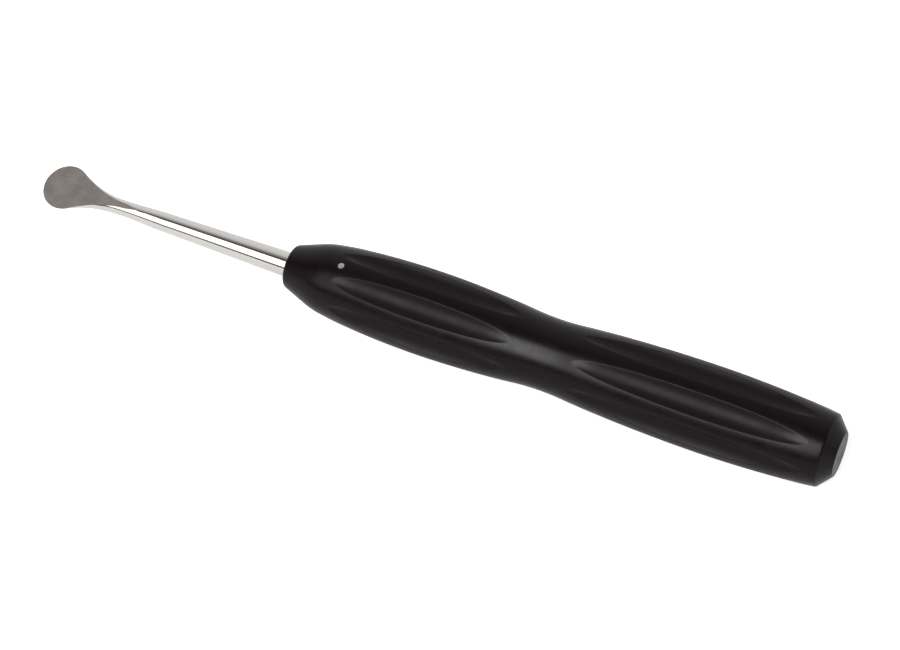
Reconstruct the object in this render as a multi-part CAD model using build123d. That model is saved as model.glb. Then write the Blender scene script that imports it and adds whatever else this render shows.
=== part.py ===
"""Bone curette: a steel blade and shank pinned into a grooved plastic handle.

Millimetres. The tool is first drawn along its own axis: x runs from the handle's nose at x = 0
towards the butt, so the shank and blade lie at negative x. At the end it is laid down: +X stays
towards the butt, +Z is up, and the origin is under the middle of the tool, on the surface it rests on.
"""
from build123d import *
import math
import os

# Handle, a body of revolution measured from its nose, whose two bulges are equally thick
handle_length = 109.4
bulge_radius = 8.34
front_bulge_at = 29.0
waist_depth = 1.52
waist_at = 53.3
rear_bulge_at = 84.0
waist_curve = 50.0
nose_belly_curve = 140.0
butt_belly_curve = 180.0
nose_belly_angle = 8.4
nose_shoulder_curve = 18.0
nose_cone_angle = 20.0
nose_edge_round = 0.9
butt_chamfer = 2.35
butt_edge_round = 0.4

# Grooves, cut by straight passes of a round-nosed cutter that scoops both bulges and misses the waist
grooves_round_handle = 8
groove_cutter_radius = 3.1
groove_depth = 1.18

# Shank and tang, round, and the bore that the tang goes down
shank_root_radius = 2.45
shank_taper_end_radius = 1.86
shank_taper_length = 28.5
neck_radius = 1.556
tang_length = 32.0
tang_end_chamfer = 0.6
bore_clearance = 0.03
bore_end_gap = 0.5
drill_point_angle = 118.0

# Blade, a round flat end forged out of the shank and ground flat on one side
blade_radius = 4.64
blade_centre_at = 49.1
blade_thickness = 1.13
blade_face_height = 0.56
blade_face_angle = 3.8
neck_flare_curve = 19.75
neck_blend_length = 13.5
edge_bevel_angle = 30.0
edge_bevel_land = 0.12
edge_bevel_shift = 0.25
blade_turn = 26.5

# Cross pin through the nose and the tang
pin_radius = 0.6
pin_at = 11.7
pin_turn = 20.8
pin_clearance = 0.01

waist_radius = bulge_radius - waist_depth
flare_length = math.sqrt((blade_radius + neck_flare_curve) ** 2 - (neck_radius + neck_flare_curve) ** 2)
flare_sections = 9
neck_at = neck_blend_length - blade_centre_at


def belly_curve(bulge_at):
    """Radius of the arc that leaves a bulge level and meets the waist's arc smoothly."""
    run = abs(waist_at - bulge_at)
    return (run**2 + waist_depth**2) / (2 * waist_depth) - waist_curve


def waist_meeting_point(bulge_at):
    """Point where the belly's arc hands over to the waist's arc."""
    share = waist_curve / (waist_curve + belly_curve(bulge_at))
    bulge_centre = bulge_radius - belly_curve(bulge_at)
    waist_centre = waist_radius + waist_curve
    return (waist_at + (bulge_at - waist_at) * share, waist_centre + (bulge_centre - waist_centre) * share)


def nose_outline():
    """Nose from the front face to the front bulge: a cone, a rounded shoulder and a long belly."""
    belly_turn = math.radians(nose_belly_angle)
    cone_turn = math.radians(nose_cone_angle)
    shoulder_end = (
        front_bulge_at - nose_belly_curve * math.sin(belly_turn),
        bulge_radius - nose_belly_curve * (1 - math.cos(belly_turn)),
    )
    shoulder_start = (
        shoulder_end[0] - nose_shoulder_curve * (math.sin(cone_turn) - math.sin(belly_turn)),
        shoulder_end[1] - nose_shoulder_curve * (math.cos(belly_turn) - math.cos(cone_turn)),
    )
    face_corner = (0, shoulder_start[1] - shoulder_start[0] * math.tan(cone_turn))
    front_face = Line((0, 0), face_corner)
    cone = Line(face_corner, shoulder_start)
    shoulder = RadiusArc(shoulder_start, shoulder_end, nose_shoulder_curve)
    belly = RadiusArc(shoulder_end, (front_bulge_at, bulge_radius), nose_belly_curve)
    return [front_face, cone, shoulder, belly], face_corner


def waist_outline():
    """From the front bulge, down into the waist and up to the rear bulge."""
    front_meeting = waist_meeting_point(front_bulge_at)
    rear_meeting = waist_meeting_point(rear_bulge_at)
    front_belly = RadiusArc((front_bulge_at, bulge_radius), front_meeting, belly_curve(front_bulge_at))
    waist = ThreePointArc(front_meeting, (waist_at, waist_radius), rear_meeting)
    rear_belly = RadiusArc(rear_meeting, (rear_bulge_at, bulge_radius), belly_curve(rear_bulge_at))
    return [front_belly, waist, rear_belly]


def butt_outline():
    """From the rear bulge to the flat end face, before its corner is chamfered."""
    run = handle_length - rear_bulge_at
    corner = (handle_length, bulge_radius - butt_belly_curve + math.sqrt(butt_belly_curve**2 - run**2))
    belly = RadiusArc((rear_bulge_at, bulge_radius), corner, butt_belly_curve)
    end_face = Line(corner, (handle_length, 0))
    return [belly, end_face], corner


def corner_near(outline, at, radius):
    """Corner of a flat outline that lies nearest a point."""
    return min(outline.vertices(), key=lambda corner: (Vector(at, radius) - corner.center()).length)


def turned_body():
    """Handle as it leaves the lathe: the outline turned about the axis, with its corners eased."""
    nose, (nose_at, nose_radius) = nose_outline()
    butt, (butt_at, butt_radius) = butt_outline()
    axis_line = Line((handle_length, 0), (0, 0))
    outline = make_face(Wire(nose + waist_outline() + butt + [axis_line]))
    outline = fillet(corner_near(outline, nose_at, nose_radius), nose_edge_round)
    outline = chamfer(corner_near(outline, butt_at, butt_radius), butt_chamfer)
    outline = fillet(corner_near(outline, butt_at - butt_chamfer, butt_radius), butt_edge_round)
    outline = fillet(corner_near(outline, butt_at, butt_radius - butt_chamfer), butt_edge_round)
    return revolve(Plane.XZ * outline, Axis.X)


def grooves():
    """Straight cutters side by side round the handle, one of them on top, each as long as the handle."""
    centre_height = bulge_radius - groove_depth + groove_cutter_radius
    along = Plane((0, 0, centre_height), x_dir=(0, 1, 0), z_dir=(1, 0, 0))
    cutter = along * Cylinder(
        groove_cutter_radius, handle_length, align=(Align.CENTER, Align.CENTER, Align.MIN)
    )
    return [Rot(360 * i / grooves_round_handle, 0, 0) * cutter for i in range(grooves_round_handle)]


def tang_bore():
    """Blind bore from the nose, with the cone that a drill leaves."""
    bore_radius = shank_root_radius + bore_clearance
    bore_depth = tang_length + bore_end_gap
    point_depth = bore_radius / math.tan(math.radians(drill_point_angle / 2))
    section = Polyline(
        (0, 0), (0, bore_radius), (bore_depth, bore_radius), (bore_depth + point_depth, 0), close=True
    )
    return revolve(Plane.XZ * make_face(section), Axis.X)


def pin_bar(radius):
    """Bar through the nose at the pin's place, as long as the handle is thick at its bulges."""
    return Rot(pin_turn, 0, 0) * Pos(pin_at, 0, 0) * Cylinder(radius, 2 * bulge_radius)


def make_handle(body):
    """Handle: the turned body with its grooves, the tang's bore and the pin's cross hole."""
    return body - grooves() - tang_bore() - pin_bar(pin_radius + pin_clearance)


def make_cross_pin(body):
    """Cross pin with both ends flush with the handle's surface."""
    return pin_bar(pin_radius) & body


def ease(share):
    """Smooth step from 0 to 1."""
    return share * share * (3 - 2 * share)


def face_height(behind):
    """Height of the ground face above the shank's axis, behind the blade's centre."""
    return blade_face_height + behind * math.tan(math.radians(blade_face_angle))


def plan_half_width(behind):
    """Half width of the forging, seen on the face: the round blade, then the flare into the neck."""
    handover = flare_length * blade_radius / (blade_radius + neck_flare_curve)
    if behind < handover:
        return math.sqrt(blade_radius**2 - behind**2)
    if behind > flare_length:
        return neck_radius
    return neck_radius + neck_flare_curve - math.sqrt(neck_flare_curve**2 - (flare_length - behind) ** 2)


def flare_section(behind):
    """Oval section of the forging at a distance behind the blade's centre."""
    share = ease(behind / neck_blend_length)
    neck_face = face_height(neck_blend_length)
    thickness = blade_thickness + (neck_face + neck_radius - blade_thickness) * share
    centre_below_face = neck_face * share
    rise = math.tan(math.radians(blade_face_angle)) * (1 - share)
    centre = (behind - blade_centre_at, 0, face_height(behind) - centre_below_face)
    across = Plane(centre, x_dir=(0, 1, 0), z_dir=(1, 0, rise))
    return across * Ellipse(plan_half_width(behind), thickness - centre_below_face)


def blade_plane():
    """Plane of the blade's face at its centre: x across, y towards the tip, z out of the face."""
    rise = math.tan(math.radians(blade_face_angle))
    return Plane((-blade_centre_at, 0, blade_face_height), x_dir=(0, 1, 0), z_dir=(-rise, 0, 1))


def round_end():
    """Front half of the blade: its middle section turned half round about the middle of the face."""
    rim = EllipticalCenterArc((0, 0), blade_radius, blade_thickness, start_angle=-90, arc_size=180)
    half_section = make_face(Wire([rim, Line(rim @ 1, rim @ 0)]))
    return blade_plane() * revolve(Plane.XZ * half_section, Axis.Z, 180)


def flare():
    """Back half of the blade and the neck, lofted from the blade's middle section to the round neck."""
    return loft([flare_section(neck_blend_length * i / (flare_sections - 1)) for i in range(flare_sections)])


def shank():
    """Round shank and tang, from the neck to the tang's end."""
    taper_start = -shank_taper_length
    taper_slope = (shank_root_radius - shank_taper_end_radius) / shank_taper_length
    neck_line = Spline(
        (neck_at, neck_radius), (taper_start, shank_taper_end_radius), tangents=[(1, 0), (1, taper_slope)]
    )
    rest = Polyline(
        (taper_start, shank_taper_end_radius),
        (0, shank_root_radius),
        (tang_length - tang_end_chamfer, shank_root_radius),
        (tang_length, shank_root_radius - tang_end_chamfer),
        (tang_length, 0),
        (neck_at, 0),
        (neck_at, neck_radius),
    )
    return revolve(Plane.XZ * make_face(Wire([neck_line] + rest.edges())), Axis.X)


def face_cutter():
    """Everything above the ground face, one plane from beyond the tip to where it runs out of the shank."""
    clear = 2 * blade_radius
    tip_end, neck_end = [
        Vector(behind - blade_centre_at, face_height(behind))
        for behind in (-clear, blade_centre_at - shank_taper_length)
    ]
    top = [neck_end + Vector(0, clear), tip_end + Vector(0, 2 * clear)]
    return extrude(Plane.XZ * make_face(Polyline(tip_end, neck_end, *top, close=True)), clear, both=True)


def edge_bevel():
    """Ring that grinds the back of the round end to an edge, full at the tip and dying out at the sides."""
    tip_radius = blade_radius + edge_bevel_shift
    depth = edge_bevel_land + blade_radius * math.tan(math.radians(edge_bevel_angle))
    section = Polyline(
        (tip_radius, -edge_bevel_land), (edge_bevel_shift, -depth), (tip_radius, -depth), close=True
    )
    half_ring = revolve(Plane.XZ * make_face(section), Axis.Z, 180)
    return blade_plane() * Pos(0, -edge_bevel_shift, 0) * half_ring


def make_blade_and_shank():
    """Blade, shank and tang in one piece, turned about the axis to the blade's angle."""
    forging = round_end() + flare() + shank()
    ground = forging - face_cutter() - edge_bevel()
    return Rot(blade_turn, 0, 0) * ground - pin_bar(pin_radius + pin_clearance)


turned = turned_body()
pieces = {
    "blade_and_shank": make_blade_and_shank(),
    "handle": make_handle(turned),
    "cross_pin": make_cross_pin(turned),
}
tip_at = pieces["blade_and_shank"].bounding_box().min.X
lying = Pos(-(tip_at + handle_length) / 2, 0, -pieces["handle"].bounding_box().min.Z)

os.makedirs("parts", exist_ok=True)
for name, piece in pieces.items():
    export_step(lying * piece, f"parts/{name}.step")
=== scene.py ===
"""Bone curette on a pale table: a ground and polished steel blade, a grooved black handle and its cross pin.

Meshes are worked out in millimetres in the tool's own axes: x runs along the tool from the handle's nose
towards the butt, and turns round it are measured from straight up towards -Y. Each finished mesh is then
carried into the frame, in metres.
"""
import logging
import math
from dataclasses import dataclass, field
from enum import IntEnum
from typing import Any, Sequence

import bpy
import numpy as np
from bpy.types import ID, Material, Mesh, Node, NodeSocket, NodeTree, Object
from mathutils import Matrix, Vector
from numpy.typing import NDArray


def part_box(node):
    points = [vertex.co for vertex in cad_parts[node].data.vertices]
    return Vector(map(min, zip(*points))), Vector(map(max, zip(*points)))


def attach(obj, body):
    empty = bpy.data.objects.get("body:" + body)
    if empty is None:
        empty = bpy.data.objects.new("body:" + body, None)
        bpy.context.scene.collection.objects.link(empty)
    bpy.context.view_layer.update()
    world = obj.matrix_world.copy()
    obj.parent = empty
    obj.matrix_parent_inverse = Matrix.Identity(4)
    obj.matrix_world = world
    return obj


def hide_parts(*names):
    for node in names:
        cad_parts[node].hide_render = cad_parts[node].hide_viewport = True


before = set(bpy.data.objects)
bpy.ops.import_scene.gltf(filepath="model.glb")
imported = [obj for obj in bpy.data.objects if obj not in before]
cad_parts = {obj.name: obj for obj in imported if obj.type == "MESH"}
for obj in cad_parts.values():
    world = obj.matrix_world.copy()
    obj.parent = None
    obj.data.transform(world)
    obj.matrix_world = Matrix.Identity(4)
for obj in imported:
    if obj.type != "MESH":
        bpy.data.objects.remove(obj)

Array = NDArray[np.float64]
Numbers = NDArray[np.int64]
Mask = NDArray[np.bool_]
LOG = logging.getLogger("curette")
# A millimetre in the frame's metres
MILLIMETRE = 0.001
# Points that round to the same multiple of this, in millimetres, become one
WELD = 1e-4
# How close to the end of a straight stretch a further point keeps its shading flat, in millimetres
SUPPORT = 0.05
# Most of a noise lies between these two values
NOISE_LOW, NOISE_HIGH = 0.3, 0.7


def linear(hex_colour: str) -> tuple[float, float, float, float]:
    """Turns an sRGB colour into the linear one that a shader socket takes.

    Args:
        hex_colour: Colour as "#rrggbb".

    Returns:
        Linear red, green and blue, with an alpha of 1.
    """
    channels = [int(hex_colour[i:i + 2], 16) / 255 for i in (1, 3, 5)]
    red, green, blue = [c / 12.92 if c <= 0.04045 else ((c + 0.055) / 1.055) ** 2.4 for c in channels]
    return red, green, blue, 1.0


def smooth_step(value: Array) -> Array:
    """Ease from 0 to 1, 3v^2 - 2v^3, with v held between 0 and 1."""
    held = np.clip(value, 0.0, 1.0)
    return held * held * (3.0 - 2.0 * held)


def root(value: Array) -> Array:
    """Square root, with 0 for what is negative."""
    return np.sqrt(np.maximum(value, 0.0))


def add_node(tree: NodeTree, kind: str, inputs: dict[int | str, Any], **settings: Any) -> Node:
    """Adds one node to a node tree, with its settings and links.

    Args:
        tree: Node tree that gets the node.
        kind: Type of the shader node.
        inputs: Socket name or number to a value, or to the node or output socket that feeds it.
        settings: Properties of the node itself.

    Returns:
        The new node.
    """
    node = tree.nodes.new("ShaderNode" + kind)
    for name, value in settings.items():
        setattr(node, name, value)
    for socket, value in inputs.items():
        source = value.outputs[0] if isinstance(value, Node) else value
        if isinstance(source, NodeSocket):
            tree.links.new(source, node.inputs[socket])
        else:
            node.inputs[socket].default_value = source
    return node


def new_object(name: str, data: ID) -> Object:
    """Makes an object of a mesh, camera or lamp and links it into the scene.

    Args:
        name: Name of the object.
        data: What the object shows.

    Returns:
        The new object.
    """
    made = bpy.data.objects.new(name, data)
    bpy.context.scene.collection.objects.link(made)
    return made


class Layer(IntEnum):
    """Which finish a face of the blade and shank has."""

    POLISHED = 0
    GROUND = 1


class Crease(IntEnum):
    """Which crisp edge a point lies on. Where it lies on two, the higher number holds."""

    NONE = 0
    FACE_RIM = 1
    BEVEL_OUTSIDE = 2
    BEVEL_INSIDE = 3
    TANG_END = 4
    TANG_CHAMFER = 5
    PIN_HOLE = 6


@dataclass(frozen=True)
class ToolAxis:
    """The tool's own axis in the frame: where the nose lies on X, and how high the axis is, in metres."""

    nose_at: float
    height: float

    def carry(self, points: Array) -> Array:
        """Moves points from the tool's own axes, in millimetres, into the frame, in metres."""
        return points * MILLIMETRE + np.array([self.nose_at, 0.0, self.height])


@dataclass
class Shell:
    """A closed surface gathered patch by patch, then welded into one mesh."""

    points: list[Array] = field(default_factory=list)
    faces: list[Numbers] = field(default_factory=list)
    layers: list[Numbers] = field(default_factory=list)
    creases: list[Numbers] = field(default_factory=list)
    wear_and_highlight: list[Array] = field(default_factory=list)
    milled: list[Array] = field(default_factory=list)

    def add(self, points: Array, wrapped: bool = False, layers: Numbers | int = Layer.POLISHED,
            creases: Numbers | int = Crease.NONE, wear_and_highlight: Array | float = 0.0, milled: Array | float = 0.0,
            keep: Mask | bool = True) -> None:
        """Adds a grid of points, joined to its neighbours by four-sided faces.

        Args:
            points: Array of rows by columns by 3.
            wrapped: True where the last column joins the first.
            layers: Finish of each face, one for all or a grid of them.
            creases: Crisp edge that each point lies on.
            wear_and_highlight: How rubbed each point is, with a painted highlight along the arrises, from 0
                to 1.
            milled: How much each point shows the cutter's marks, from 0 to 1.
            keep: Which faces of the grid stay.
        """
        rows, columns = points.shape[:2]
        start = sum(len(block) for block in self.points)
        number = np.arange(rows * columns).reshape(rows, columns) + start
        across = np.concatenate([number, number[:, :1]], axis=1) if wrapped else number
        quads = np.stack([across[:-1, :-1], across[:-1, 1:], across[1:, 1:], across[1:, :-1]], axis=-1)
        shape = quads.shape[:2]
        kept = np.broadcast_to(keep, shape).ravel()
        self.points.append(points.reshape(-1, 3))
        self.faces.append(quads.reshape(-1, 4)[kept])
        self.layers.append(np.broadcast_to(layers, shape).ravel()[kept])
        for blocks, values in ((self.creases, creases), (self.wear_and_highlight, wear_and_highlight), (self.milled, milled)):
            blocks.append(np.broadcast_to(values, (rows, columns)).ravel())

    def build(self, name: str, axis: ToolAxis, materials: Sequence[Material]) -> Object:
        """Welds the patches where their points meet, and makes the object.

        A face that loses a corner by it becomes a triangle, and one that loses two goes. The faces are
        turned outwards by the sign of the volume, the sum of corner . (corner x corner) over the triangles.

        Args:
            name: Name of the object.
            axis: Where the tool lies in the frame.
            materials: Finishes, in the order of the layers.

        Returns:
            The finished object.
        """
        points = np.concatenate(self.points)
        keys = np.round(points / WELD).astype(np.int64)
        _, first, merged = np.unique(keys, axis=0, return_index=True, return_inverse=True)
        merged = merged.reshape(-1)
        corners = merged[np.concatenate(self.faces)]
        welded = points[first]
        a, b, c, d = (welded[corners[:, i]] for i in range(4))
        if np.sum(a * np.cross(b, c)) + np.sum(a * np.cross(c, d)) < 0:
            corners = corners[:, ::-1]
        kept = corners != np.roll(corners, 1, axis=1)
        counts = kept.sum(axis=1)
        whole = counts > 2
        loops = corners[whole][kept[whole]]
        starts = np.concatenate([[0], np.cumsum(counts[whole])[:-1]])

        mesh = bpy.data.meshes.new(name)
        mesh.vertices.add(len(welded))
        mesh.vertices.foreach_set("co", axis.carry(welded).ravel())
        mesh.loops.add(len(loops))
        mesh.loops.foreach_set("vertex_index", loops)
        mesh.polygons.add(len(starts))
        mesh.polygons.foreach_set("loop_start", starts)
        mesh.polygons.foreach_set("material_index", np.concatenate(self.layers)[whole])
        mesh.polygons.foreach_set("use_smooth", np.ones(len(starts), dtype=bool))
        mesh.update(calc_edges=True)
        mesh.validate()
        self.mark(mesh, merged)
        for material in materials:
            mesh.materials.append(material)
        LOG.info("%s: %d points, %d faces", name, len(mesh.vertices), len(mesh.polygons))
        return new_object(name, mesh)

    def mark(self, mesh: Mesh, merged: Numbers) -> None:
        """Marks the crisp edges, and writes each point's rubbing with its painted highlight, and its
        milling.

        An edge is crisp where both its points lie on the same crease.

        Args:
            mesh: Welded mesh.
            merged: Which of its points each gathered point became.
        """
        crease_of = np.zeros(len(mesh.vertices), dtype=np.int64)
        np.maximum.at(crease_of, merged, np.concatenate(self.creases))
        ends = np.empty(2 * len(mesh.edges), dtype=np.int32)
        mesh.edges.foreach_get("vertices", ends)
        one, other = crease_of[ends.reshape(-1, 2)].T
        sharp = mesh.attributes.new("sharp_edge", "BOOLEAN", "EDGE")
        sharp.data.foreach_set("value", (one > Crease.NONE) & (one == other))
        for label, blocks in (("wear_and_highlight", self.wear_and_highlight), ("milled", self.milled)):
            share = np.zeros(len(mesh.vertices))
            np.maximum.at(share, merged, np.concatenate(blocks))
            mesh.attributes.new(label, "FLOAT", "POINT").data.foreach_set("value", share)


def rounded_corner(before: Array, corner: Array, after: Array, radius: float, steps: int) -> Array:
    """Points of the arc that rounds the corner between two straight lines.

    The arc's centre lies on the corner's bisector, radius / sin(half the corner's angle) from the corner.

    Args:
        before: A point of the line that comes in.
        corner: Where the lines meet.
        after: A point of the line that goes out.
        radius: Radius of the arc.
        steps: Number of chords.

    Returns:
        Points of the arc, one row each, from the first tangent point to the last.
    """
    back = (before - corner) / np.linalg.norm(before - corner)
    ahead = (after - corner) / np.linalg.norm(after - corner)
    half = 0.5 * math.acos(float(back @ ahead))
    bisector = (back + ahead) / np.linalg.norm(back + ahead)
    centre = corner + bisector * radius / math.sin(half)
    reach = radius / math.tan(half)
    start, end = corner + back * reach - centre, corner + ahead * reach - centre
    whole = math.acos(float(np.clip(start @ end / radius**2, -1, 1)))
    share = np.linspace(0, 1, steps + 1)[:, None]
    return centre + (np.sin((1 - share) * whole) * start + np.sin(share * whole) * end) / math.sin(whole)


def with_supports(start: Array, end: Array) -> Array:
    """Points of a straight line: its ends, and one more close to each, which keeps its shading flat."""
    step = (end - start) / np.linalg.norm(end - start) * SUPPORT
    return np.array([start, start + step, end - step, end])


@dataclass
class Handle:
    """Turned handle with two bulges, a waist, a chamfered butt and eight grooves over each bulge.

    The grooves are straight passes of a round-nosed cutter, each of which scoops both bulges on its way.
    """

    length: float = 109.4
    bulge_radius: float = 8.34
    front_bulge_at: float = 29.0
    waist_depth: float = 1.52
    waist_at: float = 53.3
    rear_bulge_at: float = 84.0
    waist_curve: float = 50.0
    nose_belly_curve: float = 140.0
    butt_belly_curve: float = 180.0
    nose_belly_angle: float = math.radians(8.4)
    nose_shoulder_curve: float = 18.0
    nose_cone_angle: float = math.radians(20.0)
    nose_edge_round: float = 0.9
    butt_chamfer: float = 2.35
    butt_edge_round: float = 0.4
    grooves_round_handle: int = 8
    groove_depth: float = 1.18
    cutter_radius: float = 3.1
    arris_easing: float = 0.05
    bore_radius: float = 2.48
    bore_depth: float = 32.5
    drill_point: float = 1.49
    pin_at: float = 11.7
    pin_turn: float = math.radians(20.8)
    pin_hole_radius: float = 0.61
    pin_hole_depth: float = 1.5
    # How far the rubbed arrises with their painted highlight, and the cutter's marks, reach
    wear_and_highlight_width: float = 0.28
    milled_edge: float = 0.5
    milled_tip: float = 6.0
    # How finely the mesh is divided, and how its lines close up at the grooves' tips and the pin's hole
    groove_cells: int = 20
    land_cells: int = 24
    nose_steps: int = 10
    butt_steps: int = 5
    butt_ring: float = 0.4
    station_step: float = 1.0
    least_step: float = 0.02
    tip_nearest: float = 0.01
    tip_reach: float = 4.0
    tip_stations: int = 12
    past_tip: tuple[float, ...] = (0.0, 0.25, 0.8, 1.8)
    tip_half_turn: float = math.radians(0.4)
    plain_half_turn: float = math.radians(9.0)
    hole_half: int = 4
    hole_rows: int = 10
    hole_gap: float = 0.6
    hole_reach: float = 2.0
    search_points: int = 40001

    @property
    def sector(self) -> float:
        """Turn from one groove to the next."""
        return 2 * math.pi / self.grooves_round_handle

    @property
    def cutter_height(self) -> float:
        """How far the cutter's middle runs from the tool's axis."""
        return self.bulge_radius - self.groove_depth + self.cutter_radius

    def belly(self, bulge_at: float) -> tuple[float, float]:
        """Works out the arc between a bulge and the waist's hollow arc.

        Over a run l with a drop d the radii of the two arcs add up to (l^2 + d^2) / 2d, and they share the
        run in the proportion of their radii.

        Args:
            bulge_at: Where the bulge lies on x.

        Returns:
            Radius of the arc, and where on x it meets the waist's.
        """
        run = abs(self.waist_at - bulge_at)
        curve = (run**2 + self.waist_depth**2) / (2 * self.waist_depth) - self.waist_curve
        share = self.waist_curve / (self.waist_curve + curve)
        return curve, self.waist_at + (bulge_at - self.waist_at) * share

    def outline(self, x: Array) -> Array:
        """Works out the radius of the turned body, before the grooves.

        From nose to butt: a cone, then arcs that follow each other smoothly. A swelling arc of radius c and
        centre (u, v) gives v + sqrt(c^2 - (x - u)^2), and the waist's hollow arc the same with a minus.

        Args:
            x: Places along the handle.

        Returns:
            The radius at each.
        """
        top = self.bulge_radius
        soft, steep = math.sin(self.nose_belly_angle), math.sin(self.nose_cone_angle)
        front, rear, waist = self.front_bulge_at, self.rear_bulge_at, self.waist_at
        shoulder_end = front - self.nose_belly_curve * soft
        shoulder_height = top - self.nose_belly_curve * (1 - math.cos(self.nose_belly_angle))
        shoulder_u = shoulder_end + self.nose_shoulder_curve * soft
        shoulder_v = shoulder_height - self.nose_shoulder_curve * math.cos(self.nose_belly_angle)
        cone_end = shoulder_u - self.nose_shoulder_curve * steep
        cone_height = shoulder_v + self.nose_shoulder_curve * math.cos(self.nose_cone_angle)
        front_curve, front_meeting = self.belly(front)
        rear_curve, rear_meeting = self.belly(rear)
        cone = cone_height + (x - cone_end) * math.tan(self.nose_cone_angle)
        shoulder = shoulder_v + root(self.nose_shoulder_curve**2 - (x - shoulder_u) ** 2)
        hollow = top - self.waist_depth + self.waist_curve - root(self.waist_curve**2 - (x - waist) ** 2)
        nose_belly, front_belly, rear_belly, butt_belly = (
            top - curve + root(curve**2 - (x - middle) ** 2) for curve, middle in (
                (self.nose_belly_curve, front), (front_curve, front), (rear_curve, rear),
                (self.butt_belly_curve, rear)))
        ends = (cone_end, shoulder_end, front, front_meeting, rear_meeting, rear)
        forms = [cone, shoulder, nose_belly, front_belly, hollow, rear_belly]
        return np.select([x < end for end in ends], forms, butt_belly)

    def at(self, x: float) -> Array:
        """Point (x, radius) of the outline."""
        return np.array([x, self.outline(np.array([x]))[0]])

    def groove_half_turn(self, x: Array) -> Array:
        """Works out half the width of a groove as a turn.

        The cutter's circle y^2 + (z - h)^2 = c^2 meets the handle's y^2 + z^2 = R^2 where
        z = (R^2 + h^2 - c^2) / 2h.

        Args:
            x: Places along the handle.

        Returns:
            Half turns in radians, which are 0 where the cutter misses the handle.
        """
        outline, height = self.outline(x), self.cutter_height
        z = (outline**2 + height**2 - self.cutter_radius**2) / (2 * height)
        return np.arccos(np.clip(z / outline, -1.0, 1.0))

    def grooved(self, outline: Array, turn: Array) -> Array:
        """Lowers the outline to the cutter where that is nearer the axis, with eased arrises.

        A ray from the axis meets the cutter at h cos t - sqrt(c^2 - h^2 sin^2 t). Tumbling then eases the
        arrises: a depth d becomes d^2 / (d + e), scaled to keep the deepest place as deep.

        Args:
            outline: Radius of each point before the grooves.
            turn: Its turn from the middle of its groove.

        Returns:
            Radius of each point after them.
        """
        under_root = self.cutter_radius**2 - (self.cutter_height * np.sin(turn)) ** 2
        cutter = np.where(under_root > 0.0, self.cutter_height * np.cos(turn) - root(under_root), np.inf)
        deep = np.maximum(outline - cutter, 0.0)
        eased = deep**2 / (deep + self.arris_easing) * (1 + self.arris_easing / self.groove_depth)
        return outline - eased

    def groove_tips(self) -> Array:
        """Finds where the grooves start and end, from a fine row of points.

        Returns:
            The four places on x.
        """
        x = np.linspace(0.0, self.length, self.search_points)
        cut = self.groove_half_turn(x) > 0.0
        return x[1:][cut[1:] != cut[:-1]]

    def from_tip(self, x: Array) -> Array:
        """Distance of each place on x from the nearest groove tip."""
        return np.min(np.abs(x[..., None] - self.groove_tips()), axis=-1)

    def stations(self, first: float, last: float) -> Array:
        """Places stations along the grooved body: even ones, closer at the groove tips and the pin's hole.

        Args:
            first: Where on x they start.
            last: Where they end.

        Returns:
            The stations in order, first and last among them.
        """
        roots = np.linspace(math.sqrt(self.tip_nearest), math.sqrt(self.tip_reach), self.tip_stations)
        along = np.concatenate([roots**2, -np.array(self.past_tip)])
        near_tips = [tip + side * along for tip, side in zip(self.groove_tips(), (1, -1, 1, -1))]
        step = self.pin_hole_radius / self.hole_half
        round_pin = self.pin_at + step * np.arange(-self.hole_rows, self.hole_rows + 1)
        gathered = np.concatenate([np.arange(first, last, self.station_step), *near_tips])
        inside = (gathered > first + SUPPORT) & (gathered < last - SUPPORT)
        off_pin = np.abs(gathered - self.pin_at) > (self.hole_rows + self.hole_gap) * step
        merged = np.sort(np.concatenate([[first, last], gathered[inside & off_pin], round_pin]))
        return merged[np.concatenate([[True], np.diff(merged) > self.least_step])]

    def profile(self) -> tuple[Array, Mask]:
        """Works out the whole outline from the bore's end, over the nose and the body to the butt's middle.

        Returns:
            Points (x, radius), one row each, and which of them lie on the grooved body.
        """
        nose = self.at(0.0)
        cone = np.array([math.cos(self.nose_cone_angle), math.sin(self.nose_cone_angle)])
        nose_round = rounded_corner(np.zeros(2), nose, nose + cone, self.nose_edge_round, self.nose_steps)
        slope = math.asin((self.length - self.rear_bulge_at) / self.butt_belly_curve)
        chamfer_top = self.at(self.length - self.butt_chamfer * math.cos(slope))
        chamfer_foot = self.at(self.length) - np.array([0.0, self.butt_chamfer])
        belly = self.at(chamfer_top[0] - self.station_step)
        middle = np.array([self.length, 0.0])
        rounding = (self.butt_edge_round, self.butt_steps)
        top_round = rounded_corner(belly, chamfer_top, chamfer_foot, *rounding)
        foot_round = rounded_corner(chamfer_top, chamfer_foot, middle, *rounding)

        point = np.array([self.bore_depth + self.drill_point, 0.0])
        mouth = np.array([0.0, self.bore_radius])
        bore = with_supports(np.array([self.bore_depth, self.bore_radius]), mouth)[:-1]
        nose_face = with_supports(mouth, nose_round[0])[:-1]
        x = self.stations(nose_round[-1, 0], top_round[0, 0])[1:-1]
        body = np.stack([x, self.outline(x)], axis=1)
        chamfer = with_supports(top_round[-1], foot_round[0])[1:-1]
        butt_face = with_supports(foot_round[-1], np.array([self.length, self.butt_ring]))[1:]
        blocks = [point[None], bore, nose_face, nose_round, body, top_round, chamfer, foot_round, butt_face,
                  middle[None]]
        grooved = np.concatenate([np.full(len(block), block is body) for block in blocks])
        return np.concatenate(blocks), grooved

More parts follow.
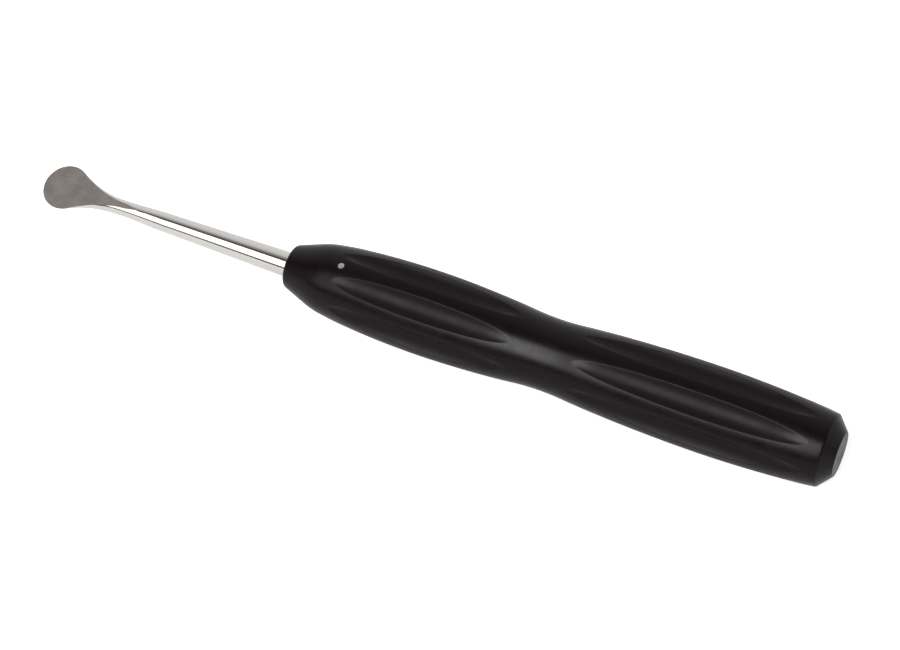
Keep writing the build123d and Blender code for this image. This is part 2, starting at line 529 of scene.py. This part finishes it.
    def columns(self, x: Array, grooved: Mask) -> tuple[Array, Array]:
        """Places the columns at each station, with two columns of each groove on its edges.

        Past a groove's tip its columns close up to almost nothing and then spread again, because no edge
        holds them there.

        Args:
            x: Stations of the whole profile.
            grooved: Which of them lie on the grooved body.

        Returns:
            Turns in radians, and the half turn between a groove's edge columns, one row for each station.
        """
        opened = smooth_step(self.from_tip(x) / self.milled_tip)
        spread = self.tip_half_turn + (self.plain_half_turn - self.tip_half_turn) * opened
        cut = self.groove_half_turn(x)
        half = np.where(grooved & (cut > 0.0), np.maximum(cut, self.tip_half_turn), spread)
        half = np.where(grooved, half, self.plain_half_turn)[:, None]
        in_groove = half * np.sin(0.5 * math.pi * np.linspace(-1.0, 1.0, self.groove_cells, endpoint=False))
        on_land = half + (self.sector - 2 * half) * np.linspace(0.0, 1.0, self.land_cells, endpoint=False)
        one = np.concatenate([in_groove, on_land], axis=1)
        turns = np.concatenate([one + self.sector * k for k in range(self.grooves_round_handle)], axis=1)
        return turns, half

    def open_hole(self, x: Array, turns: Array, radius: Array, middle: tuple[int, int], turn: float) -> Mask:
        """Draws the grid's lines round one mouth of the pin's hole, and says which faces it takes away.

        Rings of the grid round the hole are squares. The square at hole_half cells is moved on to the
        hole's circle, the squares inside it on to smaller circles, and those outside it ease back to where
        they were at hole_reach times as far.

        Args:
            x: Stations as a grid, moved in place.
            turns: Turns as a grid, moved in place.
            radius: Radius of the surface, as a grid.
            middle: Row and column through the hole's middle.
            turn: Turn of the hole's middle.

        Returns:
            Mask of the faces to leave out.
        """
        rows, columns = (np.arange(size) - place for size, place in zip(x.shape, middle))
        i, j = np.meshgrid(rows, columns, indexing="ij")
        ring = np.maximum(np.abs(i), np.abs(j)) / self.hole_half
        on_circle = self.pin_hole_radius * np.minimum(ring, 1.0) / np.maximum(np.hypot(i, j), 1.0)
        eased = smooth_step((self.hole_reach - ring) / (self.hole_reach - 1.0))
        share = np.where(ring <= 1.0, 1.0, eased)
        x += share * (self.pin_at + on_circle * i - x)
        reach = np.clip(on_circle * j / np.maximum(radius, self.pin_hole_radius), -1.0, 1.0)
        turns += share * (turn + np.arcsin(reach) - turns)
        inside = ring < 1.0
        cells = inside[:-1, :] | inside[1:, :]
        return cells | np.roll(cells, -1, axis=1)

    def pocket(self, shell: Shell, points: Array, middle: tuple[int, int], turn: float) -> None:
        """Adds the wall and floor of the pin's hole, carried straight in from its mouth along the pin.

        Args:
            shell: Shell that gets the two.
            points: Grid of the handle's surface.
            middle: Row and column through the hole's middle.
            turn: Turn of the hole's middle.
        """
        half = self.hole_half
        side = np.arange(-half, half)
        i = np.concatenate([np.full(2 * half, -half), side, np.full(2 * half, half), -side])
        j = np.roll(i, -2 * half)
        mouth = points[middle[0] + i, middle[1] + j]
        inwards = -np.array([0.0, -math.sin(turn), math.cos(turn)])
        foot = mouth + inwards * self.pin_hole_depth
        floor = np.broadcast_to(foot.mean(axis=0), foot.shape)
        creases = np.array([[Crease.PIN_HOLE], [Crease.PIN_HOLE], [Crease.NONE]])
        shell.add(np.stack([mouth, foot, floor]), wrapped=True, creases=creases)

    def make(self, axis: ToolAxis, finish: Material) -> Object:
        """Makes the handle: each station's ring is the outline or the groove, whichever is nearer the axis.

        Args:
            axis: Where the tool lies in the frame.
            finish: Material of the whole handle.

        Returns:
            The finished handle.
        """
        profile, grooved = self.profile()
        turns, half = self.columns(profile[:, 0], grooved)
        x = profile[:, :1] + np.zeros_like(turns)
        outline = profile[:, 1:] + np.zeros_like(turns)
        row = int(np.argmin(np.where(grooved, np.abs(profile[:, 0] - self.pin_at), np.inf)))
        holes = [((row, int(np.argmin(np.abs(turns[row] - turn)))), turn)
                 for turn in (self.pin_turn, self.pin_turn + math.pi)]
        gone = [self.open_hole(x, turns, outline, middle, turn) for middle, turn in holes]
        outline = np.where(grooved[:, None], self.outline(x), outline)
        offset = (turns + self.sector / 2) % self.sector - self.sector / 2
        radius = np.where(grooved[:, None], self.grooved(outline, offset), outline)
        points = np.stack([x, -radius * np.sin(turns), radius * np.cos(turns)], axis=-1)

        cut = ((self.groove_half_turn(profile[:, 0]) > self.tip_half_turn) & grooved)[:, None]
        inwards = (half - np.abs(offset)) * radius
        # Paler arrises: part rubbing, part a painted highlight along them
        wear_and_highlight = np.where(cut, np.exp(-((inwards / self.wear_and_highlight_width) ** 2)), 0.0)
        near_edge = smooth_step(0.5 + inwards / self.milled_edge)
        marked = near_edge * smooth_step(self.from_tip(x) / self.milled_tip)
        milled = np.where(cut, marked, 0.0)

        shell = Shell()
        shell.add(points, wrapped=True, wear_and_highlight=wear_and_highlight, milled=milled, keep=~(gone[0] | gone[1]))
        for middle, turn in holes:
            self.pocket(shell, points, middle, turn)
        return shell.build("grooved_handle", axis, [finish])


@dataclass
class Blade:
    """Blade, shank and tang in one: a round end ground flat, a flare, a tapered shank and a plain tang."""

    shank_root_radius: float = 2.45
    shank_taper_end_radius: float = 1.86
    shank_taper_length: float = 28.5
    neck_radius: float = 1.556
    tang_length: float = 32.0
    tang_end_chamfer: float = 0.6
    blade_radius: float = 4.64
    blade_centre_at: float = 49.1
    blade_thickness: float = 1.13
    face_height: float = 0.56
    face_slope: float = math.radians(3.8)
    neck_flare_curve: float = 19.75
    neck_blend_length: float = 13.5
    bevel_slope: float = math.tan(math.radians(30.0))
    bevel_land: float = 0.12
    bevel_shift: float = 0.25
    blade_turn: float = math.radians(26.5)
    # How finely the mesh is divided
    fan_rows: int = 73
    face_cells: int = 24
    back_cells: int = 64
    wall_cells: int = 5
    bevel_cells: int = 8
    flare_rows: int = 64
    run_out_rows: int = 28
    past_run_out: tuple[float, ...] = (0.05, 0.2, 0.5, 1.0, 1.6, 2.4, 3.2, 4.2)
    taper_gap: float = 1.2
    taper_rows: int = 16
    behind_root: float = 1.0
    least_step: float = 0.02
    search_points: int = 20001
    # What is under the root in the bevel's formula stays above this share of h^2, so its edges never meet
    least_bevel: float = 0.02
    # The bevel's edges are crisp where the outer lies nearer the rim than this share of the inner's distance
    crisp_bevel: float = 0.6
    # The angle of the face's edges on a loop stays below this, so that the face keeps a little width
    steepest_edge: float = math.radians(88.5)
    # Where behind the face's run-out the loops are plain circles, and over what length their points even out
    round_from: float = 0.3
    evening_length: float = 6.0

    @property
    def flare_length(self) -> float:
        """How far behind the blade's centre the flare's arc hands over to the neck."""
        wide = self.blade_radius + self.neck_flare_curve
        return math.sqrt(wide**2 - (self.neck_radius + self.neck_flare_curve) ** 2)

    def face(self, behind: Array) -> Array:
        """Height of the ground face over the axis: one flat plane from the tip to its run-out."""
        return self.face_height + behind * math.tan(self.face_slope)

    def half_width(self, behind: Array) -> Array:
        """Works out half the width seen on the face: the blade's circle, then the flare's hollow arc.

        Args:
            behind: Distances behind the blade's centre.

        Returns:
            Half the width at each.
        """
        handover = self.flare_length * self.blade_radius / (self.blade_radius + self.neck_flare_curve)
        circle = root(self.blade_radius**2 - behind**2)
        hollow = self.neck_radius + self.neck_flare_curve - root(
            self.neck_flare_curve**2 - (self.flare_length - behind) ** 2)
        return np.select([behind < handover, behind < self.flare_length], [circle, hollow], self.neck_radius)

    def shank_radius(self, x: Array) -> Array:
        """Works out the radius of the round shank and tang.

        A cubic runs from the neck to the taper with their slopes at its ends, the taper is straight, and the
        tang is even up to its end chamfer.

        Args:
            x: Places along the tool.

        Returns:
            The radius at each.
        """
        neck_at = self.neck_blend_length - self.blade_centre_at
        taper_at = -self.shank_taper_length
        slope = (self.shank_root_radius - self.shank_taper_end_radius) / self.shank_taper_length
        run = taper_at - neck_at
        t = np.clip((x - neck_at) / run, 0.0, 1.0)
        eased = smooth_step(t)
        cubic = (self.neck_radius * (1 - eased) + self.shank_taper_end_radius * eased
                 + slope * run * (t**3 - t**2))
        taper = self.shank_root_radius + slope * x
        tang = self.shank_root_radius - np.maximum(x - self.tang_length + self.tang_end_chamfer, 0.0)
        return np.select([x < taper_at, x < 0.0], [cubic, taper], tang)

    def back_angles(self) -> Array:
        """Works out angles on the blade's middle section from its edge (0) to straight down.

        They are set by how far in from the rim they lie: d = R (1 - cos a). The edge bevel is widest at the
        tip and dies out at d = (h / 2s)^2, with h = thickness sqrt(2 / R) and s the bevel's slope. A few
        columns stay on either side of that place, so that they can follow the bevel's two edges.

        Returns:
            The angles in order, up to a quarter turn.
        """
        outer, inner = (
            math.acos(1 - float(edge[0]) / self.blade_radius) for edge in self.bevel_edges(np.array([1.0])))
        rest = self.back_cells // 2 - self.wall_cells - self.bevel_cells
        return np.concatenate([
            np.linspace(0.0, outer, self.wall_cells, endpoint=False),
            np.linspace(outer, inner, self.bevel_cells, endpoint=False),
            np.linspace(inner, math.pi / 2, rest + 1)])

    def bevel_edges(self, off_tip: Array) -> tuple[Array, Array]:
        """Works out how far in from the rim the bevel starts and ends.

        Near the rim the back's depth is h sqrt(d) and the bevel's is land + s (d + shift off_tip). They are
        equal at sqrt(d) = (h -/+ sqrt(h^2 - 4 s (land + s shift off_tip))) / 2s.

        Args:
            off_tip: 1 - cos of the turn from the tip, round the blade.

        Returns:
            Distances from the rim of the bevel's outer and inner edge.
        """
        h = self.blade_thickness * math.sqrt(2.0 / self.blade_radius)
        lift = self.bevel_land + self.bevel_slope * self.bevel_shift * off_tip
        gap = np.sqrt(np.maximum(h**2 - 4 * self.bevel_slope * lift, self.least_bevel * h**2))
        return ((h - gap) / (2 * self.bevel_slope)) ** 2, ((h + gap) / (2 * self.bevel_slope)) ** 2

    def round_end(self, shell: Shell) -> None:
        """Adds the blade's front half as rows that fan from its middle, over the rim and under the back.

        The back is half an ellipse turned about the face's middle, T sqrt(1 - (p / R)^2) deep at a distance
        p, or the bevel, land + s (R + shift - q), where that is less deep. q is the distance from the
        bevel's own middle, which lies the shift behind the face's.

        Args:
            shell: Shell that gets the half.
        """
        psi = np.linspace(math.pi, 0.0, self.fan_rows)[:, None]
        radius, wall, bevel = self.blade_radius, self.wall_cells, self.bevel_cells
        outer, inner = self.bevel_edges(1 - np.sin(psi))
        base = self.back_angles()
        knots = [0.0, base[wall], base[wall + bevel], math.pi / 2]
        ends = np.arccos(1 - np.concatenate([outer, inner], axis=1) / radius)
        angle = np.array([np.interp(base, knots, [0.0, start, end, math.pi / 2]) for start, end in ends])
        p = radius * np.cos(angle)
        q = np.hypot(p * np.cos(psi), p * np.sin(psi) + self.bevel_shift)
        depth = np.minimum(
            self.blade_thickness * np.sin(angle),
            self.bevel_land + self.bevel_slope * (radius + self.bevel_shift - q))
        face = self.face_cells // 2
        on_face = radius * np.linspace(0.0, 1.0, face, endpoint=False)[None, :] + 0 * psi
        p = np.concatenate([on_face, p], axis=1)
        depth = np.concatenate([0 * on_face, depth], axis=1)
        across, ahead = p * np.cos(psi), p * np.sin(psi)
        cos, sin = math.cos(self.face_slope), math.sin(self.face_slope)
        x = -self.blade_centre_at - ahead * cos + depth * sin
        z = self.face_height - ahead * sin - depth * cos
        points = self.turned(np.stack([x, across, z], axis=-1))
        live = (outer < self.crisp_bevel * inner).ravel()
        creases = np.full(points.shape[:2], Crease.NONE)
        creases[:, face] = Crease.FACE_RIM
        creases[live, face + wall] = Crease.BEVEL_OUTSIDE
        creases[live, face + wall + bevel] = Crease.BEVEL_INSIDE
        layers = np.full((points.shape[0] - 1, points.shape[1] - 1), Layer.POLISHED)
        layers[:, :face + wall] = Layer.GROUND
        layers[(live[1:] & live[:-1]), face + wall:face + wall + bevel] = Layer.GROUND
        shell.add(points, layers=layers, creases=creases)

    def rear_stations(self) -> Array:
        """Places stations behind the blade's centre.

        Returns:
            Distances behind it on the flare, the neck, the taper and the tang, in order.
        """
        leave = self.face_leaves()
        flare = np.linspace(0.0, self.neck_blend_length, self.flare_rows, endpoint=False)
        to_leave = leave - (leave - self.neck_blend_length) * np.linspace(1.0, 0.0, self.run_out_rows) ** 2
        after = leave + np.array(self.past_run_out)
        taper = np.linspace(after[-1] + self.taper_gap, self.blade_centre_at, self.taper_rows)
        end = self.blade_centre_at + self.tang_length
        chamfer = end - self.tang_end_chamfer
        tang = np.array([
            self.blade_centre_at + self.behind_root, end - self.tang_length / 2, chamfer - SUPPORT, chamfer,
            end - self.least_step, end])
        return np.concatenate([flare, to_leave, after, taper, tang])

    def face_leaves(self) -> float:
        """Finds where the ground face runs out through the neck.

        Returns:
            Its distance behind the blade's centre.
        """
        behind = np.linspace(self.neck_blend_length, self.blade_centre_at, self.search_points)
        above = self.face(behind) > self.shank_radius(behind - self.blade_centre_at)
        return float(behind[int(np.argmax(above))])

    def rear(self, shell: Shell) -> None:
        """Adds everything behind the blade's middle section, one closed loop of points for each station.

        The loop is an ellipse cut off flat at the ground face. Along the flare its half width is the plan's,
        its half height eases from the blade's thickness to the neck's radius, and its plane leans with the
        face. Behind the flare it is the shank's circle.

        Args:
            shell: Shell that gets it.
        """
        b = self.rear_stations()[:, None]
        share = smooth_step(b / self.neck_blend_length)
        neck_face = self.face_height + self.neck_blend_length * math.tan(self.face_slope)
        drop = neck_face * share
        thickness = self.blade_thickness + (neck_face + self.neck_radius - self.blade_thickness) * share
        radius = self.shank_radius(b - self.blade_centre_at)
        in_flare = b < self.neck_blend_length
        width = np.where(in_flare, self.half_width(b), radius)
        height = np.where(in_flare, thickness - drop, radius)
        centre = np.where(in_flare, self.face(b) - drop, 0.0)
        lean = np.arctan(math.tan(self.face_slope) * (1 - share))
        cut = (self.face(b) - centre) / (np.cos(lean) + math.tan(self.face_slope) * np.sin(lean))
        edge = np.arcsin(np.clip(cut / height, 0.0, math.sin(self.steepest_edge)))

        on_face = np.linspace(-1.0, 1.0, self.face_cells, endpoint=False)[None, :]
        y_face = on_face * width * np.cos(edge)
        v_face = np.minimum(cut, height * np.sqrt(1 - (y_face / width) ** 2))
        right = self.back_angles()[None, :]
        both = np.concatenate([right, math.pi - right[:, -2:0:-1]], axis=1)
        even = np.linspace(0.0, math.pi, self.back_cells, endpoint=False)[None, :]
        spread = both + (even - both) * share
        eta = edge - spread * (math.pi + 2 * edge) / math.pi
        y = np.concatenate([y_face, width * np.cos(eta)], axis=1)
        v = np.concatenate([v_face, height * np.sin(eta)], axis=1)

        leave = self.face_leaves()
        count = self.face_cells + self.back_cells
        natural = np.unwrap(np.arctan2(y, v), axis=1)
        uniform = 2 * math.pi * (np.arange(count)[None, :] - self.face_cells / 2) / count
        past = b - leave - self.round_from
        turn = natural + (uniform - natural) * smooth_step(past / self.evening_length)
        y = np.where(past > 0, radius * np.sin(turn), y)
        v = np.where(past > 0, radius * np.cos(turn), v)
        x = b - self.blade_centre_at - v * np.sin(lean)
        z = centre + v * np.cos(lean)
        points = self.turned(np.stack([x, y, z], axis=-1))
        end = np.broadcast_to(points[-1].mean(axis=0), points[-1:].shape)
        points = np.concatenate([points, end])

        ground = np.append(b.ravel() < leave, False)
        creases = np.full(points.shape[:2], Crease.NONE)
        creases[ground, 0] = Crease.FACE_RIM
        creases[ground, self.face_cells] = Crease.FACE_RIM
        creases[-2] = Crease.TANG_END
        creases[-4] = Crease.TANG_CHAMFER
        layers = np.full((len(points) - 1, count), Layer.POLISHED)
        layers[ground[:-1], :self.face_cells] = Layer.GROUND
        shell.add(points, wrapped=True, layers=layers, creases=creases)

    def turned(self, points: Array) -> Array:
        """Turns points about the tool's axis to the blade's angle, from straight up towards -Y.

        Args:
            points: Points of a blade that faces straight up.

        Returns:
            The same points on the turned blade.
        """
        cos, sin = math.cos(self.blade_turn), math.sin(self.blade_turn)
        x, y, z = np.moveaxis(points, -1, 0)
        return np.stack([x, y * cos - z * sin, y * sin + z * cos], axis=-1)

    def make(self, axis: ToolAxis, finishes: Sequence[Material]) -> Object:
        """Makes the blade, shank and tang as one mesh.

        Args:
            axis: Where the tool lies in the frame.
            finishes: The polished and the ground finish, in that order.

        Returns:
            The finished object.
        """
        shell = Shell()
        self.round_end(shell)
        self.rear(shell)
        return shell.build("ground_blade_and_shank", axis, finishes)


def new_material(name: str) -> Material:
    """Makes a material with an empty node tree.

    Args:
        name: Name of the material.

    Returns:
        The new material.
    """
    material = bpy.data.materials.new(name)
    material.use_nodes = True
    material.node_tree.nodes.clear()
    return material


def grain(tree: NodeTree, length: float, width: float, detail: float, roughness: float) -> Node:
    """Adds a noise whose grains have a real size along and across the tool.

    Args:
        tree: Node tree of the material.
        length: Size along the tool in millimetres.
        width: Size across it.
        detail: How many finer noises are added to the first.
        roughness: How strong each finer one is beside the one before.

    Returns:
        The noise's node.
    """
    place = add_node(tree, "TexCoord", {}).outputs["Object"]
    along, across = 1 / (length * MILLIMETRE), 1 / (width * MILLIMETRE)
    stretched = add_node(tree, "Mapping", {"Vector": place, "Scale": (along, across, across)})
    return add_node(tree, "TexNoise", {
        "Vector": stretched, "Scale": 1.0, "Detail": detail, "Roughness": roughness})


def surface(tree: NodeTree, relief: Node, depth: float, strength: float, inputs: dict[str, Any]) -> None:
    """Ends a material: relief raises the surface a little, and the surface goes to the output.

    Args:
        tree: Node tree of the material.
        relief: Node that gives the relief, from 0 to 1.
        depth: Depth of the relief in millimetres.
        strength: Share of it that shows.
        inputs: Inputs of the surface's shader.
    """
    bump = add_node(tree, "Bump", {
        "Strength": strength, "Distance": depth * MILLIMETRE, "Height": relief})
    shader = add_node(tree, "BsdfPrincipled", {**inputs, "Normal": bump})
    add_node(tree, "OutputMaterial", {0: shader})


@dataclass(frozen=True)
class BlackPhenolic:
    """Black phenolic rod with the marks of its cutting: a warm near-black with a broad soft sheen.

    Phenolic's own index is 1.6. It is set lower because the photograph's black reflects very little. The
    turned lands look glossier than the milled grooves, and the arrises a little paler, partly from rubbing
    and partly as a painted highlight along them. Real cutting marks are finer, and are drawn as coarse as
    they need to show.
    """

    colour: str = "#0d0607"
    # Colour of the arrises, paler for rubbing and as a painted highlight
    worn_and_highlit_colour: str = "#171110"
    turned_roughness: float = 0.27
    milled_roughness: float = 0.52
    mottled_roughness: float = 0.05
    ior: float = 1.25
    mottle_size: float = 3.0
    mark_pitch: float = 0.35
    mark_length: float = 33.3
    mark_depth: float = 0.02
    mark_strength: float = 0.12

    def make(self) -> Material:
        """Builds the material: duller milled grooves, mottled gloss, cutting marks, paler edges rubbed and
        painted highlit.

        Returns:
            The finish of the handle.
        """
        material = new_material("cut_black_phenolic")
        tree = material.node_tree
        mottle = grain(tree, self.mottle_size, self.mottle_size, detail=5.0, roughness=0.6)
        marks = grain(tree, self.mark_pitch, self.mark_length, detail=3.0, roughness=0.7)
        # Arrises mix towards the paler colour: rubbed wear together with a painted highlight
        wear_and_highlight = add_node(tree, "Attribute", {}, attribute_name="wear_and_highlight").outputs["Fac"]
        patchy = add_node(tree, "Math", {0: wear_and_highlight, 1: mottle}, operation="MULTIPLY")
        colour = add_node(tree, "Mix", {
            0: patchy, 6: linear(self.colour), 7: linear(self.worn_and_highlit_colour)}, data_type="RGBA")
        milled = add_node(tree, "Attribute", {}, attribute_name="milled").outputs["Fac"]
        cut = add_node(tree, "MapRange", {
            0: milled, 1: 0.0, 2: 1.0, 3: self.turned_roughness, 4: self.milled_roughness})
        gloss = add_node(tree, "MapRange", {
            0: mottle, 1: NOISE_LOW, 2: NOISE_HIGH, 3: -self.mottled_roughness, 4: self.mottled_roughness})
        rough = add_node(tree, "Math", {0: cut, 1: gloss}, operation="ADD")
        surface(tree, marks, self.mark_depth, self.mark_strength, {
            "Base Color": colour.outputs[2], "Roughness": rough, "IOR": self.ior})
        return material


@dataclass(frozen=True)
class PolishedStainless:
    """Stainless steel polished round the shank: bright, with faint rings left by the polishing mop."""

    colour: str = "#dad7d3"
    glossiest: float = 0.06
    dullest: float = 0.11
    ring_pitch: float = 0.25
    ring_length: float = 16.7
    ring_depth: float = 0.01
    ring_strength: float = 0.05

    def make(self) -> Material:
        """Builds the material: clean metal whose gloss varies a little from ring to ring.

        Returns:
            The finish of the shank.
        """
        material = new_material("polished_stainless_steel")
        tree = material.node_tree
        rings = grain(tree, self.ring_pitch, self.ring_length, detail=4.0, roughness=0.65)
        rough = add_node(tree, "MapRange", {
            0: rings, 1: NOISE_LOW, 2: NOISE_HIGH, 3: self.glossiest, 4: self.dullest})
        surface(tree, rings, self.ring_depth, self.ring_strength, {
            "Base Color": linear(self.colour), "Metallic": 1.0, "Roughness": rough})
        return material


@dataclass(frozen=True)
class GroundStainless:
    """Stainless steel ground lengthwise on a fine belt: satin grey, with fine scratches along the tool."""

    name: str = "ground_stainless_steel"
    colour: str = "#a39c99"
    scratched_colour: str = "#958e8a"
    roughness: float = 0.42
    scratched_roughness: float = 0.06
    scratch_width: float = 0.12
    scratch_length: float = 4.0
    scratch_depth: float = 0.01
    scratch_strength: float = 0.25
    cloud_size: float = 2.5
    # The sum of the two noises at which the colour starts to leave the scratched one, and where it is plain
    tone_low: float = 0.85
    tone_high: float = 1.15

    def make(self) -> Material:
        """Builds the material: long thin scratches that change colour, gloss and height together.

        Returns:
            The finish of a ground surface.
        """
        material = new_material(self.name)
        tree = material.node_tree
        scratches = grain(tree, self.scratch_length, self.scratch_width, detail=4.0, roughness=0.7)
        cloud = grain(tree, self.cloud_size, self.cloud_size, detail=3.0, roughness=0.5)
        both = add_node(tree, "Math", {0: scratches, 1: cloud}, operation="ADD")
        tone = add_node(tree, "MapRange", {0: both, 1: self.tone_low, 2: self.tone_high, 3: 0.0, 4: 1.0})
        colour = add_node(tree, "Mix", {
            0: tone, 6: linear(self.scratched_colour), 7: linear(self.colour)}, data_type="RGBA")
        rough = add_node(tree, "MapRange", {
            0: scratches, 1: NOISE_LOW, 2: NOISE_HIGH,
            3: self.roughness - self.scratched_roughness, 4: self.roughness + self.scratched_roughness})
        surface(tree, scratches, self.scratch_depth, self.scratch_strength, {
            "Base Color": colour.outputs[2], "Metallic": 1.0, "Roughness": rough})
        return material


@dataclass(frozen=True)
class SoftBox:
    """Soft box a metre in front of the tool, hung where the tool mirrors it to the camera.

    Its height is the angle over the front horizon, aside is how far its middle stands towards the blade in
    metres, size is its height and width in metres, and power is in watts.
    """

    name: str
    aside: float
    height: float
    size: tuple[float, float]
    power: float

    def hang(self, target: Vector) -> None:
        """Makes the lamp and turns it towards the target.

        Args:
            target: Point that the lamp shines at.
        """
        near = math.sqrt(1 - self.aside**2)
        outwards = Vector((-self.aside, -near * math.cos(self.height), near * math.sin(self.height)))
        data = bpy.data.lights.new(self.name, "AREA")
        data.shape = "RECTANGLE"
        data.size, data.size_y = self.size
        data.energy = self.power
        lamp = new_object(self.name, data)
        lamp.location = target + outwards
        lamp.rotation_euler = outwards.to_track_quat("Z", "X").to_euler()


@dataclass
class Studio:
    """Pale table, pale surroundings with a darker ceiling, two soft boxes, and the camera."""

    axis: ToolAxis
    azimuth: float = math.radians(23.12)
    elevation: float = math.radians(42.6)
    roll: float = math.radians(2.89)
    distance: float = 0.5
    focal_length: float = 108.0
    sensor_width: float = 36.0
    nearest: float = 0.01
    # Point that the camera looks at, in the tool's own axes
    aim: tuple[float, float, float] = (33.34, -0.57, -0.57)
    table_half: float = 2.0
    # The table ends close in front, so that the shank mirrors a thin dark line below its bright one
    table_front: float = 0.13
    table_colour: str = "#e9e9e9"
    table_glow: float = 0.6
    # Brightness of the room round the tool's length: 0 is the front horizon, 0.5 overhead, 1 the back
    room: tuple[tuple[float, float], ...] = (
        (0.0, 0.10), (0.035, 0.12), (0.055, 0.50), (0.30, 0.20), (0.37, 0.05), (0.42, 0.10),
        (0.49, 0.25), (0.56, 0.55), (0.63, 0.75), (0.76, 0.85), (1.0, 0.9))
    lamps: tuple[SoftBox, ...] = (
        SoftBox("soft_box", 0.10, math.radians(39.0), (0.70, 0.52), 9.1),
        SoftBox("wide_soft_box", 0.30, math.radians(36.0), (0.84, 0.90), 5.0))

    def camera(self, target: Vector) -> None:
        """Places the camera at the photograph's angle, with its small roll.

        Args:
            target: Point that it looks at.
        """
        back = Vector((
            math.sin(self.azimuth) * math.cos(self.elevation),
            -math.cos(self.azimuth) * math.cos(self.elevation),
            math.sin(self.elevation)))
        level = Vector((math.cos(self.azimuth), math.sin(self.azimuth), 0.0))
        right = level * math.cos(self.roll) + back.cross(level) * math.sin(self.roll)
        up = back.cross(right)
        data = bpy.data.cameras.new("camera")
        data.lens = self.focal_length
        data.sensor_width = self.sensor_width
        data.clip_start = self.nearest
        camera = new_object("camera", data)
        camera.matrix_world = Matrix.Translation(target + back * self.distance) @ Matrix(
            (right, up, back)).transposed().to_4x4()
        bpy.context.scene.camera = camera

    def table(self) -> None:
        """Makes a plain white table that glows a little for the camera, so that its shadow stays faint."""
        material = new_material("white_table")
        tree = material.node_tree
        rays = add_node(tree, "LightPath", {})
        share = add_node(tree, "Math", {
            0: rays.outputs["Is Camera Ray"], 1: self.table_glow}, operation="MULTIPLY")
        paint = add_node(tree, "BsdfDiffuse", {"Color": linear(self.table_colour)})
        glow = add_node(tree, "Emission", {"Color": linear("#ffffff"), "Strength": share})
        both = add_node(tree, "AddShader", {0: paint, 1: glow})
        add_node(tree, "OutputMaterial", {0: both})
        h, front = self.table_half, self.table_front
        mesh = bpy.data.meshes.new("table")
        corners = [(-h, -front, 0.0), (h, -front, 0.0), (h, h, 0.0), (-h, h, 0.0)]
        mesh.from_pydata(corners, [], [(0, 1, 2, 3)])
        mesh.materials.append(material)
        table = new_object("table", mesh)

    def surroundings(self) -> None:
        """Makes the room: white for the camera, and for reflections a grey that changes with the angle."""
        world = bpy.data.worlds.new("room")
        bpy.context.scene.world = world
        world.use_nodes = True
        tree = world.node_tree
        tree.nodes.clear()
        direction = add_node(tree, "TexCoord", {}).outputs["Generated"]
        parts = add_node(tree, "SeparateXYZ", {0: direction})
        front = add_node(tree, "Math", {0: parts.outputs["Y"], 1: -1.0}, operation="MULTIPLY")
        angle = add_node(tree, "Math", {0: parts.outputs["Z"], 1: front}, operation="ARCTAN2")
        share = add_node(tree, "Math", {0: angle, 1: math.pi}, operation="DIVIDE")
        ramp = add_node(tree, "ValToRGB", {0: share})
        stops = ramp.color_ramp.elements
        while len(stops) < len(self.room):
            stops.new(1.0)
        for stop, (place, grey) in zip(stops, self.room):
            stop.position = place
            stop.color = (grey, grey, grey, 1.0)
        room = add_node(tree, "Background", {0: ramp, 1: 1.0})
        white = add_node(tree, "Background", {0: linear("#ffffff"), 1: 1.0})
        rays = add_node(tree, "LightPath", {})
        mixed = add_node(tree, "MixShader", {
            0: rays.outputs["Is Camera Ray"], 1: room, 2: white})
        add_node(tree, "OutputWorld", {0: mixed})

    def build(self) -> None:
        """Sets up the camera, the table, the surroundings and the lamps."""
        target = Vector(self.axis.carry(np.array(self.aim)))
        self.camera(target)
        self.table()
        self.surroundings()
        for lamp in self.lamps:
            lamp.hang(target)
        bpy.context.scene.view_settings.view_transform = "Standard"
        LOG.info("studio: camera, table, room and %d lamps", len(self.lamps))


def main() -> None:
    """Builds the studio and the pieces in order."""
    logging.basicConfig(level=logging.INFO, format="%(name)s: %(message)s")
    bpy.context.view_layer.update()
    low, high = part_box("handle")
    axis = ToolAxis(nose_at=float(low[0]), height=0.5 * float(low[2] + high[2]))
    Studio(axis).build()

    handle = Handle().make(axis, BlackPhenolic().make())
    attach(handle, "root")
    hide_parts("handle")

    ground = GroundStainless().make()
    blade = Blade().make(axis, [PolishedStainless().make(), ground])
    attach(blade, "root")
    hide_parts("blade_and_shank")

    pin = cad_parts["cross_pin"]
    pin.data.materials.clear()
    pin.data.materials.append(GroundStainless(
        name="ground_pin_end", colour="#d6d3ce", scratched_colour="#c6c2bc", roughness=0.3).make())
    LOG.info("cross_pin: carried over from the CAD with its own finish")


if __name__ == "__main__":
    main()
